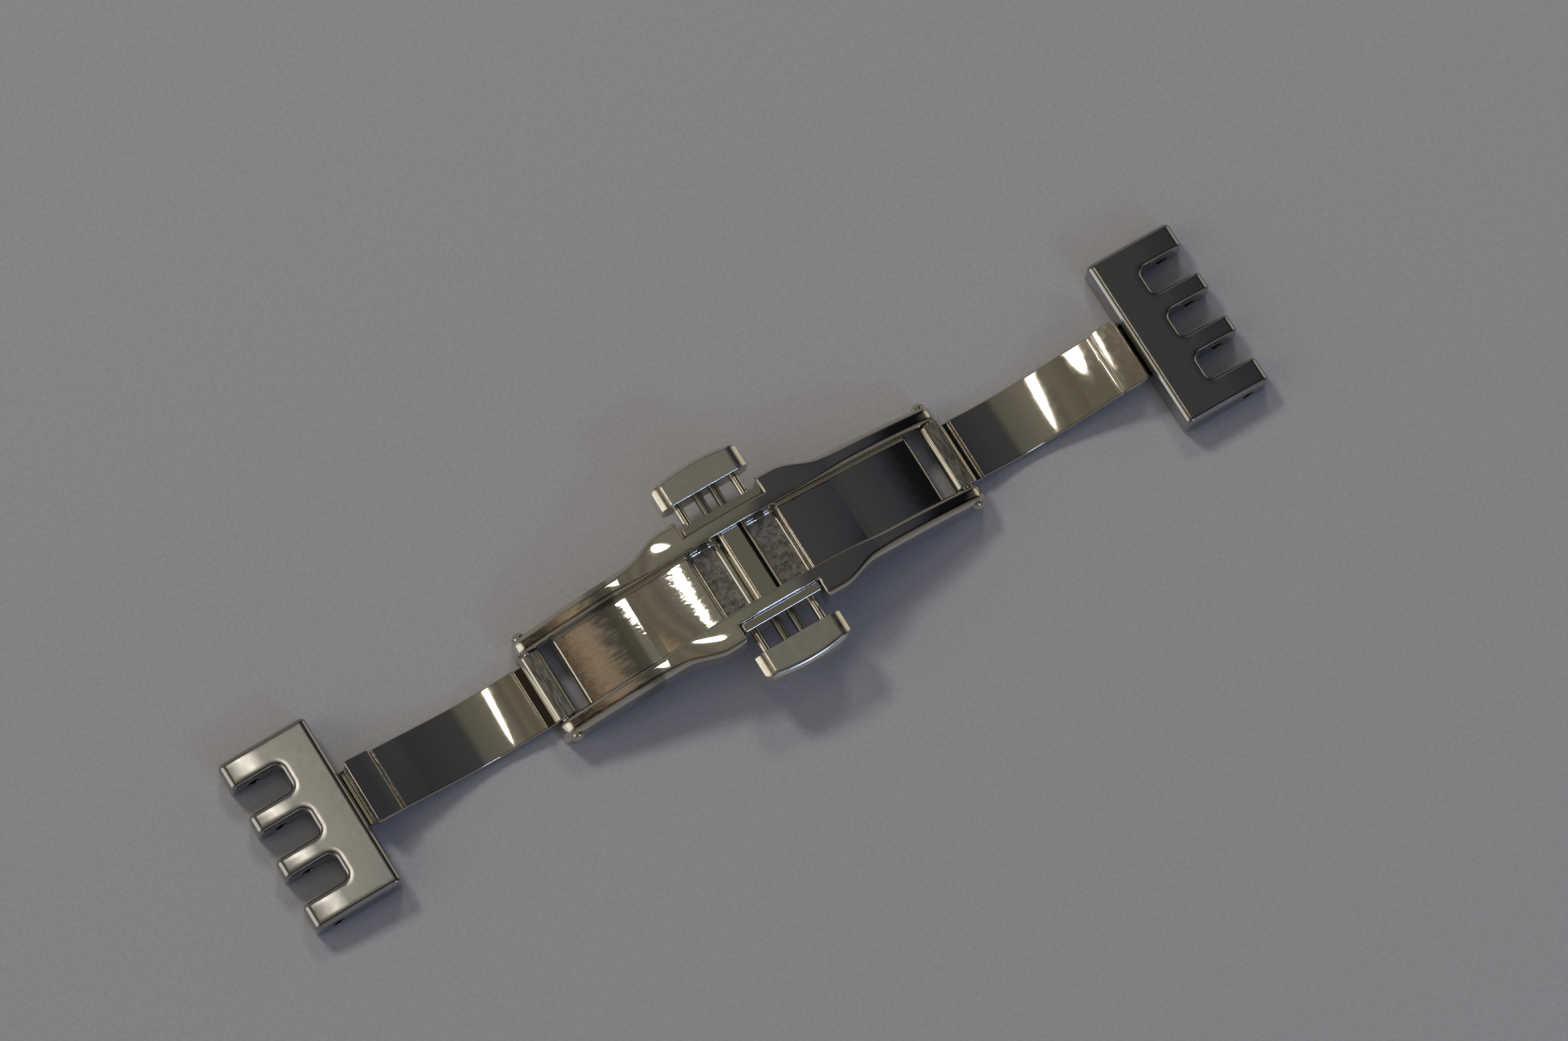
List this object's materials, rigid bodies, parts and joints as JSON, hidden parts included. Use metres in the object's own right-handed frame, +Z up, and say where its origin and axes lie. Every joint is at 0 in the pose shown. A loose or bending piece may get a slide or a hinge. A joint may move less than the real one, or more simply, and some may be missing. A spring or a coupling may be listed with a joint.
{
  "type": "watch clasp",
  "caption": "Double folding watch clasp lying open, with a curved steel base, two hinged blades, comb-shaped end plates and spring-loaded side pushers.",
  "frame": {"origin": "middle of the footprint of the open clasp, on the table", "axes": "+X along the bracelet, +Y across it away from the viewer, +Z up, out of the clasp's outward side"},
  "size_m": [0.103, 0.022, 0.0068],
  "materials": {
    "polished_steel": "mirror polished",
    "satin_steel": "satin",
    "spring_steel": "drawn"
  },
  "bodies": {
    "base": {"base_frame": "polished_steel", "crossbar": "polished_steel", "retainer_plate_front": "polished_steel", "retainer_plate_back": "polished_steel", "guide_posts_front": "polished_steel", "guide_posts_back": "polished_steel", "hinge_pin_left": "polished_steel", "hinge_pin_right": "polished_steel", "hinge_pin_head_left": "polished_steel", "hinge_pin_head_right": "polished_steel", "pusher_springs_front": "spring_steel", "pusher_springs_back": "spring_steel"},
    "arm_right": {"blade_right": "polished_steel", "catch_block_right": "polished_steel"},
    "arm_left": {"blade_left": "polished_steel", "catch_block_left": "polished_steel"},
    "plate_right": {"end_plate_right": "satin_steel", "pivot_pin_right": "polished_steel"},
    "plate_left": {"end_plate_left": "satin_steel", "pivot_pin_left": "polished_steel"},
    "pusher_front": {"pusher_cap_front": "polished_steel", "latch_slider_front": "satin_steel"},
    "pusher_back": {"pusher_cap_back": "polished_steel", "latch_slider_back": "satin_steel"}
  },
  "joints": [
    {"name": "fold_right", "type": "hinge", "parent": "base", "child": "arm_right", "pos_m": [0.0216, 0, 0.0023], "axis": [0, -1, 0], "range_deg": [-6, 169.3]},
    {"name": "fold_left", "type": "hinge", "parent": "base", "child": "arm_left", "pos_m": [-0.0216, 0, 0.0023], "axis": [0, 1, 0], "range_deg": [-6, 169.3]},
    {"name": "plate_turn_right", "type": "hinge", "parent": "arm_right", "child": "plate_right", "pos_m": [0.04297, 0, 0.00091], "axis": [0, -1, 0], "range_deg": [-169.3, 6]},
    {"name": "plate_turn_left", "type": "hinge", "parent": "arm_left", "child": "plate_left", "pos_m": [-0.04297, 0, 0.00091], "axis": [0, 1, 0], "range_deg": [-169.3, 6]},
    {"name": "push_front", "type": "slide", "parent": "base", "child": "pusher_front", "axis": [0, 1, 0], "range_m": [0, 0.00085], "stiffness_N_per_m": 900, "springref_m": -0.001, "deforming": ["pusher_springs_front"]},
    {"name": "push_back", "type": "slide", "parent": "base", "child": "pusher_back", "axis": [0, -1, 0], "range_m": [0, 0.00085], "stiffness_N_per_m": 900, "springref_m": -0.001, "deforming": ["pusher_springs_back"]}
  ],
  "couplings": [
    {"joint": "plate_turn_right", "follows": "fold_right", "ratio": -1},
    {"joint": "plate_turn_left", "follows": "fold_left", "ratio": -1}
  ]
}
